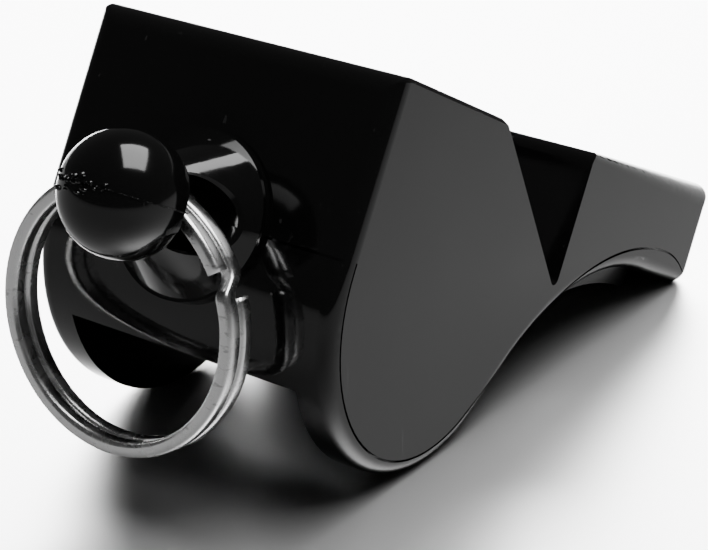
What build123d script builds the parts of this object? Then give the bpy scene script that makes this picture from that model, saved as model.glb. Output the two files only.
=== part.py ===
from build123d import *
import math
import os

# Training whistle: two black moulded shells welded along a seam, and a steel
# split ring through the hole of the lug. All sizes in mm.
#
# The shells are drawn level in the whistle's own axes: X runs from the flat
# rear face (x = 0) to the mouthpiece, Y is the width, Z is up from the lowest
# point of the belly. At the end everything is laid down the way it rests on a
# table, on the belly and the lower edge of the mouthpiece.

# --- driving dimensions -----------------------------------------------------
body_width = 21.0
body_top = 21.8           # flat top over the belly
belly_radius = 10.9       # round belly, tangent to the rear face and the ground line
flank_angle = 54.5        # rise of the flank in front of the belly, degrees
flank_end_x = 2 * belly_radius + 0.2   # where the flank turns into the throat curve
mouth_floor = 16.15       # underside of the mouthpiece
mouth_end_x = 45.5        # end face of the mouthpiece
mouth_top_rear = body_top + 0.4        # top of the mouthpiece beside the windows
mouth_top_tip = body_top + 1.6         # and at the end face
mouth_edge_rear = 0.4     # rounding of its long top edges, growing to the tip
mouth_edge_tip = 1.6
tip_corner = 1.2          # lower front corner of the mouthpiece
outline_edge = 1.0        # side edges round the rear face, belly, underside and tip
rear_top_edge = 1.2       # top edge of the rear face
top_edge = 0.25           # bevel of the long top edges of the body

# seam between the shells
seam_height = belly_radius + 0.5       # on the rear face
seam_gap = 0.14           # open groove left along the weld
rim_width = 0.9           # rim of the lower shell round the belly
rim_angle = 48.2          # the seam climbs the flank a little flatter than the rim
rim_flank_end_x = flank_end_x + 1.8
rim_end_height = 17.9
rim_hook_drop = 2.4       # the seam turns down this much before the tip
groove_depth = 0.5
rear_groove = 0.2
plate_thickness = 1.3     # side plates of the upper shell that cover the lower one

# side windows, one each side, open to the top
window_top_x = 12.8       # where the ramp leaves the flat top
window_wall_x = 25.5      # upright wall at the mouthpiece side
window_foot = 13.0        # height where ramp and wall would meet
window_foot_round = 0.5
ramp_start_round = 1.5
wall_top_round = 0.8
lip_x = 24.2              # sharp edge at the foot of the ramp
lip_slit = 1.3            # gap between the lip and the wall
window_depth = 6.2        # in from the side face
side_plate = 1.3          # the slit stops this far inside the side face

# airways through the mouthpiece
airway_height = 1.3
airway_inner = 4.5        # the side airways run between these distances from the middle
airway_outer = body_width / 2 - 1.6
airway_bend_x = 36.0
airway_bend_height = 18.3
airway_mouth_height = 18.9
middle_airway_width = 5.0
middle_airway = ((mouth_end_x + 1, 17.9), (34.0, 15.6), (27.0, 12.4), (21.6, 8.3))

# slot between the cheeks of the belly, and the lower window
slot_width = body_width - 4.9
slot_roof = 3.7
lower_lip_x = 20.3
lower_lip_height = 8.2
lower_ramp_x = 13.5
lower_wall_x = 21.7
pad_drop = 1.35           # the floor pad stands below the mouthpiece sides
pad_end_x = mouth_end_x - 4.3
pad_width = slot_width - 0.3

# lug
boss_diameter = 10.0
boss_height = 0.4
boss_step = 0.15          # flat left round the foot of the stem
lug_ball_diameter = 7.2
lug_ball_x = -6.7
neck_diameter = 5.2       # thin end of the tapering stem, where it meets the ball
hole_slack = 1.95         # the hole is this much wider than the ring is thick
hole_bevel = 0.2
hole_x = -3.5

# split ring
ring_outer = 16.2
wire_depth = 0.9          # across the flat, in the plane of the ring
wire_thickness = 1.05     # of one turn
turn_gap = 0.06
wire_corner = 0.15
ring_clearance = 0.26     # least gap between wire and hole as the ring swings
ring_hang_angle = 19.5    # lean of the ring from the whistle's upright
ring_lean = 13.3          # the ring leans this far to one side in the wide hole
crossover = 22.0          # degrees the wire takes to step between its two turns
end_gap = 2.5             # degrees left open at each wire end
ends_at = 210.0           # where on the ring the wire steps across

half_width = body_width / 2
mouth_rise = (mouth_top_tip - mouth_top_rear) / (mouth_end_x - window_wall_x)
belly = (belly_radius, belly_radius)

# both turns of the ring pass through the hole side by side
turn_step = wire_thickness + turn_gap
ring_height = wire_thickness + turn_step
hole_diameter = ring_height + hole_slack

# the stem tapers from the boss to the ball
ball_join = lug_ball_x + math.sqrt((lug_ball_diameter / 2) ** 2 - (neck_diameter / 2) ** 2)
stem_root = boss_diameter / 2 - boss_step
stem_taper = (stem_root - neck_diameter / 2) / (-boss_height - ball_join)

# --- side outlines ----------------------------------------------------------


def on_circle(centre, radius, degrees):
    return (centre[0] + radius * math.cos(math.radians(degrees)),
            centre[1] + radius * math.sin(math.radians(degrees)))


def underside(inset, angle, flank_end, end_height):
    """Belly arc, straight flank and throat arc, as points for a side outline."""
    radius = belly_radius - inset
    rear = (belly[0] - radius, belly[1])
    low = (belly[0], belly[1] - radius)
    leave = on_circle(belly, radius, angle - 90)
    slope = math.tan(math.radians(angle))
    turn = (flank_end, leave[1] + slope * (flank_end - leave[0]))
    throat = (end_height - turn[1]) / (1 - math.cos(math.radians(angle)))
    flat = (flank_end + throat * math.sin(math.radians(angle)), end_height)
    middle_angle = math.radians(90 + angle / 2)
    middle = (flat[0] + throat * math.cos(middle_angle),
              end_height - throat + throat * math.sin(middle_angle))
    return rear, low, leave, turn, middle, flat


def side_outline(inset, angle, flank_end, end_x, end_height, hook=0.0):
    """Underside of a side outline, from the rear to the tip, drawn into a BuildLine."""
    rear, low, leave, turn, middle, flat = underside(inset, angle, flank_end, end_height)
    ThreePointArc(rear, low, leave)
    Line(leave, turn)
    ThreePointArc(turn, middle, flat)
    if hook:
        span = end_x - flat[0]
        bend = (span ** 2 + hook ** 2) / (2 * hook)
        half = (flat[0] + span / 2, end_height - bend + math.sqrt(bend ** 2 - span ** 2 / 4))
        ThreePointArc(flat, half, (end_x, end_height - hook))
        return (end_x, end_height - hook)
    Line(flat, (end_x, end_height))
    return (end_x, end_height)


# --- master form, split afterwards into the two shells ----------------------
with BuildPart() as envelope:
    with BuildSketch(Plane.XY.offset(-1)):
        with Locations((window_wall_x / 2, 0)):
            Rectangle(window_wall_x, body_width)
    extrude(amount=body_top + 1)
    fillet(envelope.edges().group_by(Axis.Z)[-1].sort_by(Axis.X)[0], rear_top_edge)
    chamfer(envelope.edges().filter_by(Axis.X).group_by(Axis.Z)[-1], top_edge)
    with BuildSketch(Plane.YZ.offset(window_wall_x)) as mouth_rear:
        with Locations((0, (mouth_top_rear - 1) / 2)):
            Rectangle(body_width, mouth_top_rear + 1)
        fillet(mouth_rear.vertices().group_by(Axis.Z)[-1], mouth_edge_rear)
    with BuildSketch(Plane.YZ.offset(mouth_end_x)) as mouth_tip:
        with Locations((0, (mouth_top_tip - 1) / 2)):
            Rectangle(body_width, mouth_top_tip + 1)
        fillet(mouth_tip.vertices().group_by(Axis.Z)[-1], mouth_edge_tip)
    loft()

with BuildPart() as master:
    with BuildSketch(Plane.XZ):
        with BuildLine():
            end = side_outline(0, flank_angle, flank_end_x, mouth_end_x, mouth_floor)
            Polyline(end, (mouth_end_x, body_top + 9), (0, body_top + 9), (0, belly_radius))
        make_face()
    extrude(amount=half_width, both=True)
    fillet(master.edges().filter_by(Axis.Y).group_by(Axis.X)[-1].sort_by(Axis.Z)[0], tip_corner)
    outline_edges = [e for e in master.edges() if abs(abs(e.center().Y) - half_width) < 0.01
                     and e.center().Z < body_top + 8]
    fillet(outline_edges, outline_edge)
    add(envelope.part, mode=Mode.INTERSECT)

    # slot between the cheeks, up to the floor of the middle chamber
    with BuildSketch(Plane.XZ):
        with BuildLine():
            Polyline((-2, -2), (-2, slot_roof), (lower_ramp_x, slot_roof),
                     (lower_lip_x, lower_lip_height), (lower_wall_x, lower_lip_height + 1.2),
                     (lower_wall_x, 0), (lower_wall_x, -2), close=True)
        make_face()
    extrude(amount=slot_width / 2, both=True, mode=Mode.SUBTRACT)

    # floor pad under the mouthpiece
    with BuildSketch(Plane.XZ):
        with BuildLine():
            pad_line = side_outline(-pad_drop, flank_angle, flank_end_x, pad_end_x,
                                    mouth_floor - pad_drop)
            Polyline(pad_line, (pad_end_x, mouth_floor + 1), (-pad_drop, mouth_floor + 1),
                     (-pad_drop, belly_radius))
        make_face()
        with Locations((lower_wall_x / 2 - 2, mouth_floor / 2)):
            Rectangle(lower_wall_x + 4, mouth_floor + 8, mode=Mode.SUBTRACT)
    extrude(amount=pad_width / 2, both=True)

    # windows: a ramp down to the lip, facing the upright wall of the mouthpiece
    ramp = math.atan2(body_top - window_foot, window_wall_x - window_top_x)
    ease = ramp_start_round * math.tan(ramp / 2)
    ramp_start = (window_top_x + ease * math.cos(ramp), body_top - ease * math.sin(ramp))
    foot = (window_wall_x, window_foot)
    wall_top = mouth_top_rear + wall_top_round * mouth_rise
    lip_height = window_foot + (window_wall_x - lip_x) * math.tan(ramp)
    for side in (-1, 1):
        with BuildSketch(Plane.XZ.offset(-side * (half_width + 1))) as opening:
            with BuildLine():
                Polyline((window_wall_x + wall_top_round, wall_top),
                         (window_wall_x + wall_top_round, body_top + 5),
                         (window_top_x - ease, body_top + 5), (window_top_x - ease, body_top))
                TangentArc((window_top_x - ease, body_top), ramp_start, tangent=(1, 0))
                Polyline(ramp_start, foot, (window_wall_x, mouth_top_rear - wall_top_round))
                TangentArc((window_wall_x, mouth_top_rear - wall_top_round),
                           (window_wall_x + wall_top_round, wall_top), tangent=(0, 1))
            make_face()
            fillet(opening.vertices().group_by(Axis.Z)[0], window_foot_round)
        extrude(amount=side * (window_depth + 1), mode=Mode.SUBTRACT)
        with BuildSketch(Plane.XZ.offset(-side * (half_width - side_plate))):
            with BuildLine():
                Polyline((lip_x, lip_height), (lip_x, lip_height - lip_slit),
                         (window_wall_x, lip_height - lip_slit), (window_wall_x, lip_height),
                         close=True)
            make_face()
        extrude(amount=side * (window_depth - side_plate), mode=Mode.SUBTRACT)

    # airways: one to each side window, and a middle one to the lower chamber
    side_airway = ((mouth_end_x + 1, airway_mouth_height), (airway_bend_x, airway_bend_height),
                   (window_wall_x - 0.01, lip_height - airway_height / 2))
    airway_middle = (airway_inner + airway_outer) / 2
    for path, centre, width in ((side_airway, airway_middle, airway_outer - airway_inner),
                                (side_airway, -airway_middle, airway_outer - airway_inner),
                                (middle_airway, 0, middle_airway_width)):
        with BuildSketch(Plane.XZ.offset(centre)):
            with BuildLine():
                Polyline(*path, *[(x, z + airway_height) for x, z in reversed(path)], close=True)
            make_face()
        extrude(amount=width / 2, both=True, mode=Mode.SUBTRACT)

    # lug: low round boss, tapering stem and ball, turned about the seam axis
    with BuildSketch(Plane.XZ):
        with BuildLine():
            ball_end = (lug_ball_x - lug_ball_diameter / 2, seam_height)
            Polyline((ball_join, seam_height + neck_diameter / 2),
                     (-boss_height, seam_height + stem_root),
                     (-boss_height, seam_height + boss_diameter / 2),
                     (1.5, seam_height + boss_diameter / 2), (1.5, seam_height), ball_end)
            ThreePointArc(ball_end, (lug_ball_x, seam_height + lug_ball_diameter / 2),
                          (ball_join, seam_height + neck_diameter / 2))
        make_face()
    revolve(axis=Axis((0, 0, seam_height), (1, 0, 0)))

    # cross hole, its mouths broken
    with BuildSketch(Plane.XZ):
        with Locations((hole_x, seam_height)):
            Circle(hole_diameter / 2)
    extrude(amount=lug_ball_diameter, both=True, mode=Mode.SUBTRACT)
    bore = [f for f in master.faces().filter_by(GeomType.CYLINDER)
            if abs(f.center().Z - seam_height) < hole_diameter and f.center().X < -boss_height]
    chamfer([e for f in bore for e in f.edges() if e.geom_type != GeomType.LINE], hole_bevel)


# --- split along the seam ---------------------------------------------------
def seam_outline(gap):
    """The upper shell's share of the side view, drawn into a BuildLine."""
    rear = underside(rim_width + gap, rim_angle, rim_flank_end_x, rim_end_height + gap)[0]
    end = side_outline(rim_width + gap, rim_angle, rim_flank_end_x, mouth_end_x + 1,
                       rim_end_height + gap, rim_hook_drop)
    Polyline(end, (mouth_end_x + 1, body_top + 9), (lug_ball_x - lug_ball_diameter, body_top + 9),
             (lug_ball_x - lug_ball_diameter, seam_height), (rear[0], seam_height), rear)


with BuildPart() as upper_zone:
    with BuildSketch(Plane.XZ):
        with BuildLine():
            seam_outline(seam_gap)
        make_face()
    extrude(amount=half_width + 1, both=True)
    # behind the side plates the lower shell reaches up to the level seam
    with BuildSketch(Plane.XZ):
        with Locations((0, seam_height / 2)):
            Rectangle(2 * body_width + 10, seam_height)
    extrude(amount=half_width - plate_thickness, both=True, mode=Mode.SUBTRACT)

with BuildPart() as groove_zone:
    with BuildSketch(Plane.XZ):
        with BuildLine():
            seam_outline(0)
        make_face()
    extrude(amount=half_width + 1, both=True)
    with BuildSketch(Plane.XZ):
        Rectangle(4 * mouth_end_x, 4 * mouth_end_x)
    extrude(amount=half_width - groove_depth, both=True, mode=Mode.SUBTRACT)

with BuildPart() as upper_shell:
    add(master.part)
    add(upper_zone.part, mode=Mode.INTERSECT)

with BuildPart() as lower_shell:
    add(master.part)
    add(upper_zone.part, mode=Mode.SUBTRACT)
    add(groove_zone.part, mode=Mode.SUBTRACT)
    # the same groove across the rear face, up to the boss
    rear_run = half_width - boss_diameter / 2 + 0.1
    for side in (-1, 1):
        with Locations((0, side * (half_width - rear_run / 2), seam_height - seam_gap / 2)):
            Box(2 * rear_groove, rear_run, seam_gap, mode=Mode.SUBTRACT)

# --- split ring -------------------------------------------------------------
ring_inner = ring_outer / 2 - wire_depth

# the inner edge bears on the lower wall of the hole near one mouth
reach_down = math.sqrt((hole_diameter / 2 - ring_clearance) ** 2 - (ring_height / 2) ** 2)
stem_there = neck_diameter / 2 + stem_taper * (hole_x + ring_height / 2 - ball_join)
bearing = (math.sqrt(stem_there ** 2 - reach_down ** 2) - hole_bevel / 2, reach_down)
lean = math.radians(ring_lean)
part_way = bearing[1] * math.cos(lean) - bearing[0] * math.sin(lean)
hang_length = part_way + math.sqrt(part_way ** 2 + ring_inner ** 2 - math.hypot(*bearing) ** 2)

hang = math.radians(ring_hang_angle)
straight_down = Vector(math.sin(hang), 0, -math.cos(hang))
ring_down = straight_down * math.cos(lean) + Vector(0, 1, 0) * math.sin(lean)
ring_side = Vector(0, 1, 0) * math.cos(lean) - straight_down * math.sin(lean)
ring_centre = Vector(hole_x, 0, seam_height) + ring_down * hang_length
ring_plane = Plane(origin=ring_centre, x_dir=ring_side, z_dir=ring_side.cross(ring_down))


def wire_section(degrees, height):
    """Section plane of the wire at an angle round the ring."""
    turn = math.radians(degrees)
    out = ring_plane.x_dir * math.cos(turn) + ring_plane.y_dir * math.sin(turn)
    return Plane(origin=ring_centre + ring_plane.z_dir * height, x_dir=out,
                 z_dir=ring_plane.z_dir.cross(out))


def wire_profile():
    """Flat wire with its outer corners broken."""
    across, along = wire_depth / 2, wire_thickness / 2
    with Locations((ring_inner + across, 0)):
        Polygon((-across, -along), (across - wire_corner, -along), (across, -along + wire_corner),
                (across, along - wire_corner), (across - wire_corner, along), (-across, along))


with BuildPart() as split_ring:
    spin = Axis(ring_centre, ring_plane.z_dir)
    turn_angle = 360 - crossover - end_gap
    for start, height in ((ends_at + end_gap, turn_step / 2), (ends_at, -turn_step / 2)):
        with BuildSketch(wire_section(start, height)):
            wire_profile()
        revolve(axis=spin, revolution_arc=turn_angle)
    # the wire steps across from the end of one turn to the start of the other
    steps = 5
    for k in range(steps):
        for part in (k / steps, (k + 1) / steps):
            ease = part * part * (3 - 2 * part)
            with BuildSketch(wire_section(ends_at - crossover * (1 - part),
                                          turn_step * (0.5 - ease))):
                wire_profile()
        loft(ruled=True)

# --- laid down as it rests --------------------------------------------------
tip_centre = (mouth_end_x - tip_corner, mouth_floor + tip_corner)
reach = math.dist(belly, tip_centre)
rest_angle = math.degrees(math.atan2(tip_centre[1] - belly[1], tip_centre[0] - belly[0])
                          + math.asin((belly_radius - tip_corner) / reach))
tilt = Location((0, 0, 0), (0, rest_angle, 0))
made = {"upper_shell": upper_shell, "lower_shell": lower_shell, "split_ring": split_ring}
box = Compound([piece.part.moved(tilt) for piece in made.values()]).bounding_box()
lying = Location((-(box.min.X + box.max.X) / 2, -(box.min.Y + box.max.Y) / 2, -box.min.Z)) * tilt
os.makedirs("parts", exist_ok=True)
for name, piece in made.items():
    piece.part.locate(lying)
    piece.part.label = name
    export_step(piece.part, f"parts/{name}.step")
    print(name, len(piece.part.solids()), round(piece.part.volume, 1), piece.part.is_valid)
print("rest angle", rest_angle, "lying", lying)
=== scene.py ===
import math
import random

import bpy
import bmesh
from mathutils import Matrix, Vector


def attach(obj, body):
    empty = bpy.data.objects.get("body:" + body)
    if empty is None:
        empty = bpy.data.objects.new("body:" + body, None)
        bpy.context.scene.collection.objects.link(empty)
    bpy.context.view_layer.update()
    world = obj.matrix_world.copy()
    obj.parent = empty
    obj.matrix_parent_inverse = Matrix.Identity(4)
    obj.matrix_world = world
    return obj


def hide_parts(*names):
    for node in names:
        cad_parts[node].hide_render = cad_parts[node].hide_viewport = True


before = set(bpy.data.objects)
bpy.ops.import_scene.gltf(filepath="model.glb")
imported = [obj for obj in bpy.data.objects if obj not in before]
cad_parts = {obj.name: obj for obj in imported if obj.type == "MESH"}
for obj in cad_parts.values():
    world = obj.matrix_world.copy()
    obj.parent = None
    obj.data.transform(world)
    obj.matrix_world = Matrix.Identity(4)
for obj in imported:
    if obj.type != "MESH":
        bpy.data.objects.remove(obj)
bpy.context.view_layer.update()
print("frame loaded")

# a close-up from behind the whistle's right side, a little above it
cameraSet = {
    "at": (-0.11137, -0.072942, 0.066042),
    "right": (0.56477, -0.82474, 0.02896),
    "forward": (0.75911, 0.50542, -0.41024),
    "lens": 116.95,
    "sensor": 36.0,
    "clip": (0.005, 20),
}


def addCamera(spec):
    cam = bpy.data.cameras.new("camera")
    cam.lens = spec["lens"]
    cam.sensor_width = spec["sensor"]
    cam.clip_start, cam.clip_end = spec["clip"]
    obj = bpy.data.objects.new("camera", cam)
    bpy.context.scene.collection.objects.link(obj)
    forward = Vector(spec["forward"]).normalized()
    right = Vector(spec["right"])
    right = (right - forward * right.dot(forward)).normalized()
    turn = Matrix((right, right.cross(forward), -forward)).transposed().to_4x4()
    obj.matrix_world = Matrix.Translation(spec["at"]) @ turn
    bpy.context.scene.camera = obj


addCamera(cameraSet)
print("camera placed")


def newMaterial(name):
    mat = bpy.data.materials.new(name)
    mat.use_nodes = True
    nodes = mat.node_tree.nodes
    links = mat.node_tree.links
    nodes.clear()
    out = nodes.new("ShaderNodeOutputMaterial")
    shader = nodes.new("ShaderNodeBsdfPrincipled")
    links.new(shader.outputs["BSDF"], out.inputs["Surface"])
    return mat, nodes, links, shader


def ramp(nodes, low, high, lowColour, highColour):
    node = nodes.new("ShaderNodeValToRGB")
    node.color_ramp.elements[0].position = low
    node.color_ramp.elements[1].position = high
    node.color_ramp.elements[0].color = lowColour
    node.color_ramp.elements[1].color = highColour
    return node


def grey(value):
    return (value, value, value, 1)


# gloss black moulded plastic: near-mirror skin, faint orange peel, handling smudges,
# a few dust specks and hairline scratches
blackSet = {
    "base": 0.003,
    "ior": 1.5,
    "roughLow": 0.05,
    "roughHigh": 0.14,
    "smudgeScale": 180,
    "smudgeDetail": 6,
    "smudgeRange": (0.35, 0.75),
    "peelScale": 900,
    "peelDetail": 3,
    "peelHeight": 0.00002,
    "peelStrength": 0.12,
    "dustScale": 520,
    "dustSize": (0.03, 0.06),
    "dustShare": (0.6, 0.8),
    "dustColour": 0.1,
    "scratchStretch": (1500, 1500, 130),
    "scratchTurn": 0.6,
    "scratchDetail": 2,
    "scratchShare": (0.73, 0.76),
    "scratchColour": 0.02,
}


def noise(nodes, links, vector, scale, detail):
    node = nodes.new("ShaderNodeTexNoise")
    node.inputs["Scale"].default_value = scale
    node.inputs["Detail"].default_value = detail
    links.new(vector, node.inputs["Vector"])
    return node


def multiply(nodes, links, first, second):
    node = nodes.new("ShaderNodeMath")
    node.operation = "MULTIPLY"
    links.new(first, node.inputs[0])
    links.new(second, node.inputs[1])
    return node


def dustMask(nodes, links, vector, spec):
    speck = nodes.new("ShaderNodeTexVoronoi")
    speck.inputs["Scale"].default_value = spec["dustScale"]
    links.new(vector, speck.inputs["Vector"])
    dot = ramp(nodes, *spec["dustSize"], grey(1), grey(0))
    links.new(speck.outputs["Distance"], dot.inputs["Fac"])
    # only some of the cells hold a speck
    kept = ramp(nodes, *spec["dustShare"], grey(0), grey(1))
    links.new(speck.outputs["Color"], kept.inputs["Fac"])
    return multiply(nodes, links, dot.outputs["Color"], kept.outputs["Color"])


def scratchMask(nodes, links, vector, spec):
    lay = nodes.new("ShaderNodeMapping")
    lay.inputs["Scale"].default_value = spec["scratchStretch"]
    lay.inputs["Rotation"].default_value = (0, spec["scratchTurn"], 0)
    links.new(vector, lay.inputs["Vector"])
    lines = noise(nodes, links, lay.outputs["Vector"], 1, spec["scratchDetail"])
    thin = ramp(nodes, *spec["scratchShare"], grey(0), grey(1))
    links.new(lines.outputs["Fac"], thin.inputs["Fac"])
    return thin


def blackPlastic(spec):
    mat, nodes, links, shader = newMaterial("glossBlackPlastic")
    place = nodes.new("ShaderNodeTexCoord").outputs["Object"]
    smudge = noise(nodes, links, place, spec["smudgeScale"], spec["smudgeDetail"])
    rough = ramp(nodes, *spec["smudgeRange"], grey(spec["roughLow"]), grey(spec["roughHigh"]))
    links.new(smudge.outputs["Fac"], rough.inputs["Fac"])
    links.new(rough.outputs["Color"], shader.inputs["Roughness"])
    peel = noise(nodes, links, place, spec["peelScale"], spec["peelDetail"])
    bump = nodes.new("ShaderNodeBump")
    bump.inputs["Strength"].default_value = spec["peelStrength"]
    bump.inputs["Distance"].default_value = spec["peelHeight"]
    links.new(peel.outputs["Fac"], bump.inputs["Height"])
    links.new(bump.outputs["Normal"], shader.inputs["Normal"])
    # inputs 6 and 7 and output 2 are the mix node's colour sockets
    colour = grey(spec["base"])
    for mask, mark in ((dustMask(nodes, links, place, spec).outputs["Value"], spec["dustColour"]),
                       (scratchMask(nodes, links, place, spec).outputs["Color"],
                        spec["scratchColour"])):
        blend = nodes.new("ShaderNodeMix")
        blend.data_type = "RGBA"
        links.new(mask, blend.inputs["Factor"])
        if isinstance(colour, tuple):
            blend.inputs[6].default_value = colour
        else:
            links.new(colour, blend.inputs[6])
        blend.inputs[7].default_value = grey(mark)
        colour = blend.outputs[2]
    links.new(colour, shader.inputs["Base Color"])
    shader.inputs["IOR"].default_value = spec["ior"]
    return mat


# bright plated wire, dulled a little by the keys and hooks it has carried
steelSet = {
    "base": 0.8,
    "dull": 0.5,
    "roughLow": 0.2,
    "roughHigh": 0.36,
    "wearScale": 700,
    "wearDetail": 4,
    "wearRange": (0.4, 0.7),
    "nickStretch": (1100, 1100, 4200),
    "nickDetail": 3,
    "nickShare": (0.62, 0.7),
}


def ringSteel(spec):
    mat, nodes, links, shader = newMaterial("platedSpringSteel")
    place = nodes.new("ShaderNodeTexCoord").outputs["Object"]
    wear = noise(nodes, links, place, spec["wearScale"], spec["wearDetail"])
    rough = ramp(nodes, *spec["wearRange"], grey(spec["roughLow"]), grey(spec["roughHigh"]))
    links.new(wear.outputs["Fac"], rough.inputs["Fac"])
    links.new(rough.outputs["Color"], shader.inputs["Roughness"])
    lay = nodes.new("ShaderNodeMapping")
    lay.inputs["Scale"].default_value = spec["nickStretch"]
    links.new(place, lay.inputs["Vector"])
    nicks = noise(nodes, links, lay.outputs["Vector"], 1, spec["nickDetail"])
    tone = ramp(nodes, *spec["nickShare"], grey(spec["base"]), grey(spec["dull"]))
    links.new(nicks.outputs["Fac"], tone.inputs["Fac"])
    links.new(tone.outputs["Color"], shader.inputs["Base Color"])
    shader.inputs["Metallic"].default_value = 1.0
    return mat


plastic = blackPlastic(blackSet)
steel = ringSteel(steelSet)
for name, finish in (("upper_shell", plastic), ("lower_shell", plastic), ("split_ring", steel)):
    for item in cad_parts[name].material_slots:
        item.material = finish
print("finishes set")


# ragged weld flash along the lug ball's parting line, thickest behind on the left;
# angles run round the ball from straight behind, positive to the whistle's right
flashSet = {
    "centre": (-0.02412, 0, 0.01947),
    "tilt": 27.498,
    "radius": 0.0036,
    "from": -75,
    "to": 120,
    "steps": 260,
    "thickAt": -12,
    "thickSpread": 26,
    "thinHeight": 0.00006,
    "thickHeight": 0.0002,
    "halfWidth": 0.00006,
    "thickHalfWidth": 0.00012,
    "root": 0.00006,
    "raggedShare": (0.1, 1),
    "widthShare": (0.5, 1),
    "leanShare": (-0.6, 0.6),
    "ridgeShare": 0.3,
    "beads": 26,
    "beadAlong": 0.6,
    "beadLift": 0.0001,
    "beadSpread": 0.00032,
    "beadSize": 0.00021,
    "beadShare": (0.4, 1),
    "beadLong": (0.6, 1.6),
    "beadThin": (0.4, 0.9),
    "seed": 4,
}


def addFlash(spec, finish):
    dice = random.Random(spec["seed"])
    tilt = math.radians(spec["tilt"])
    behind = Vector((-math.cos(tilt), 0, math.sin(tilt)))
    up = Vector((math.sin(tilt), 0, math.cos(tilt)))
    right = Vector((0, -1, 0))
    centre = Vector(spec["centre"])

    def onBall(degrees, height, rise):
        turn = math.radians(degrees)
        out = behind * math.cos(turn) + right * math.sin(turn)
        return centre + out * (spec["radius"] + height) + up * rise

    bm = bmesh.new()
    rows = []
    for k in range(spec["steps"] + 1):
        degrees = spec["from"] + (spec["to"] - spec["from"]) * k / spec["steps"]
        thick = math.exp(-(((degrees - spec["thickAt"]) / spec["thickSpread"]) ** 2))
        ragged = thick * dice.uniform(*spec["raggedShare"])
        height = spec["thinHeight"] + spec["thickHeight"] * ragged
        widened = spec["thickHalfWidth"] * thick * dice.uniform(*spec["widthShare"])
        half = spec["halfWidth"] + widened
        ridge = half * spec["ridgeShare"]
        lean = half * dice.uniform(*spec["leanShare"])
        rows.append([bm.verts.new(onBall(degrees, *place)) for place in
                     ((-spec["root"], -half), (height, lean - ridge),
                      (height, lean + ridge), (-spec["root"], half))])
    for low, high in zip(rows, rows[1:]):
        for j in range(4):
            bm.faces.new((low[j], low[(j + 1) % 4], high[(j + 1) % 4], high[j]))
    bm.faces.new(rows[0])
    bm.faces.new(list(reversed(rows[-1])))
    # torn beads beside the weld
    for k in range(spec["beads"]):
        degrees = dice.gauss(spec["thickAt"], spec["thickSpread"] * spec["beadAlong"])
        size = spec["beadSize"] * dice.uniform(*spec["beadShare"])
        at = onBall(degrees, 0, dice.gauss(spec["beadLift"], spec["beadSpread"]))
        at = centre + (at - centre).normalized() * spec["radius"]
        long = size * dice.uniform(*spec["beadLong"])
        thin = size * dice.uniform(*spec["beadThin"])
        shape = Matrix.Translation(at) @ Matrix.Diagonal((size, long, thin, 1))
        bmesh.ops.create_icosphere(bm, subdivisions=2, radius=1, matrix=shape)
    bmesh.ops.recalc_face_normals(bm, faces=bm.faces)
    mesh = bpy.data.meshes.new("weldFlash")
    bm.to_mesh(mesh)
    bm.free()
    mesh.materials.append(finish)
    obj = bpy.data.objects.new("weldFlash", mesh)
    bpy.context.scene.collection.objects.link(obj)
    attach(obj, "whistle")


addFlash(flashSet, plastic)
print("weld flash added")


# the split ring again with softly rounded wire and cut ends; angles run round the ring
# from the whistle's left, 90 pointing down and 270 at the lug
ringSet = {
    "centre": (-0.022222, 0.001595, 0.011311),
    "tilt": 27.498,
    "hang": 19.5,
    "lean": 13.3,
    "outer": 0.0081,
    "depth": 0.0009,
    "thickness": 0.00105,
    "gap": 0.00005,
    "corner": 0.0003,
    "cornerSteps": 5,
    "ends": 225,
    "endGap": 1.5,
    "crossover": 9,
    "turnSteps": 150,
}


def wireSection(spec):
    # a rounded rectangle, as (out from the wire's middle, across the turns)
    halfOut, halfAcross = spec["depth"] / 2, spec["thickness"] / 2
    corner = spec["corner"]
    points = []
    for signOut, signAcross, start in ((1, 1, 0), (-1, 1, 90), (-1, -1, 180), (1, -1, 270)):
        for k in range(spec["cornerSteps"]):
            turn = math.radians(start + 90 * k / (spec["cornerSteps"] - 1))
            points.append((signOut * (halfOut - corner) + corner * math.cos(turn),
                           signAcross * (halfAcross - corner) + corner * math.sin(turn)))
    return points


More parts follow.
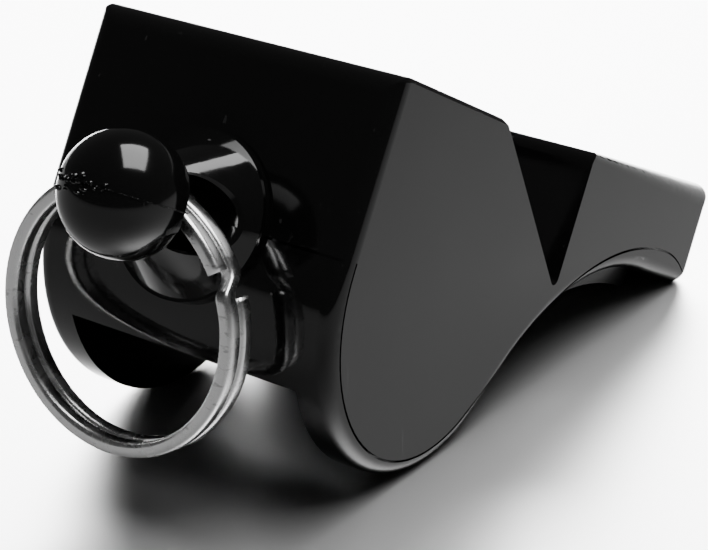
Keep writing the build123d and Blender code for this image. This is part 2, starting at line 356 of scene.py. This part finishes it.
def addRing(spec, finish):
    hang, lean = math.radians(spec["hang"]), math.radians(spec["lean"])
    lay = Matrix.Rotation(math.radians(spec["tilt"]), 3, "Y")
    plumb = lay @ Vector((math.sin(hang), 0, -math.cos(hang)))
    left = Vector((0, 1, 0))
    down = plumb * math.cos(lean) + left * math.sin(lean)
    side = left * math.cos(lean) - plumb * math.sin(lean)
    front = side.cross(down)
    centre = Vector(spec["centre"])
    middle = spec["outer"] - spec["depth"] / 2
    step = spec["thickness"] + spec["gap"]
    section = wireSection(spec)
    # out from one end, once round, across to the second turn, and round to the other end
    first = spec["ends"] + spec["endGap"]
    crossFrom = spec["ends"] + 360 - spec["crossover"]
    last = crossFrom + 360 - spec["endGap"]
    count = 2 * spec["turnSteps"]
    angles = [first + (last - first) * k / count for k in range(count + 1)]

    bm = bmesh.new()
    rows = []
    for degrees in angles:
        part = min(1, max(0, (degrees - crossFrom) / spec["crossover"]))
        across = step * (0.5 - part * part * (3 - 2 * part))
        turn = math.radians(degrees)
        out = side * math.cos(turn) + down * math.sin(turn)
        rows.append([bm.verts.new(centre + out * (middle + u) + front * (across + v))
                     for u, v in section])
    around = len(section)
    for low, high in zip(rows, rows[1:]):
        for j in range(around):
            face = bm.faces.new((low[j], low[(j + 1) % around], high[(j + 1) % around], high[j]))
            face.smooth = True
    bm.faces.new(rows[0])
    bm.faces.new(list(reversed(rows[-1])))
    bmesh.ops.recalc_face_normals(bm, faces=bm.faces)
    mesh = bpy.data.meshes.new("splitRing")
    bm.to_mesh(mesh)
    bm.free()
    mesh.materials.append(finish)
    obj = bpy.data.objects.new("splitRing", mesh)
    bpy.context.scene.collection.objects.link(obj)
    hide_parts("split_ring")
    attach(obj, "ring")
    return obj


splitRing = addRing(ringSet, steel)
print("split ring added")


# a dark room with a satin metallic sheet, which looks white from the front because it mirrors
# the back light towards the camera, and a soft box overhead
stageSet = {
    "floorSize": 1.6,
    "floorColour": 0.92,
    "floorMetallic": 0.92,
    "floorRoughness": 0.42,
    "world": 0.06,
}


def addStage(spec):
    mesh = bpy.data.meshes.new("floor")
    bm = bmesh.new()
    bmesh.ops.create_grid(bm, x_segments=1, y_segments=1, size=spec["floorSize"] / 2)
    bm.to_mesh(mesh)
    bm.free()
    floor = bpy.data.objects.new("floor", mesh)
    bpy.context.scene.collection.objects.link(floor)
    mat, nodes, links, shader = newMaterial("satinSheet")
    shader.inputs["Base Color"].default_value = grey(spec["floorColour"])
    shader.inputs["Roughness"].default_value = spec["floorRoughness"]
    shader.inputs["Metallic"].default_value = spec["floorMetallic"]
    mesh.materials.append(mat)
    world = bpy.data.worlds.new("room")
    bpy.context.scene.world = world
    world.use_nodes = True
    world.node_tree.nodes["Background"].inputs["Color"].default_value = grey(spec["world"])
    return floor


topLightSet = {"at": (0.1, -0.1, 0.55), "aim": (0, 0, 0.01), "size": (0.5, 0.35), "power": 4.6}
backLightSet = {"at": (0.608, 0.405, 0.325), "aim": (0, 0, 0), "size": (0.6, 0.42), "power": 15}


def addSoftBox(name, spec):
    light = bpy.data.lights.new(name, "AREA")
    light.shape = "RECTANGLE"
    light.size, light.size_y = spec["size"]
    light.energy = spec["power"]
    obj = bpy.data.objects.new(name, light)
    bpy.context.scene.collection.objects.link(obj)
    away = (Vector(spec["at"]) - Vector(spec["aim"])).normalized()
    turn = away.to_track_quat("Z", "Y").to_matrix().to_4x4()
    obj.matrix_world = Matrix.Translation(spec["at"]) @ turn
    return obj


def lightOnly(light, lit):
    group = bpy.data.collections.new(light.name + "Lights")
    for obj in lit:
        group.objects.link(obj)
    light.light_linking.receiver_collection = group


floor = addStage(stageSet)
addSoftBox("softBoxTop", topLightSet)
# the back light reaches only the floor and the ring; the black shells and the weld flash
# are kept out of it
lightOnly(addSoftBox("backLight", backLightSet), [floor, splitRing])
print("stage lit")
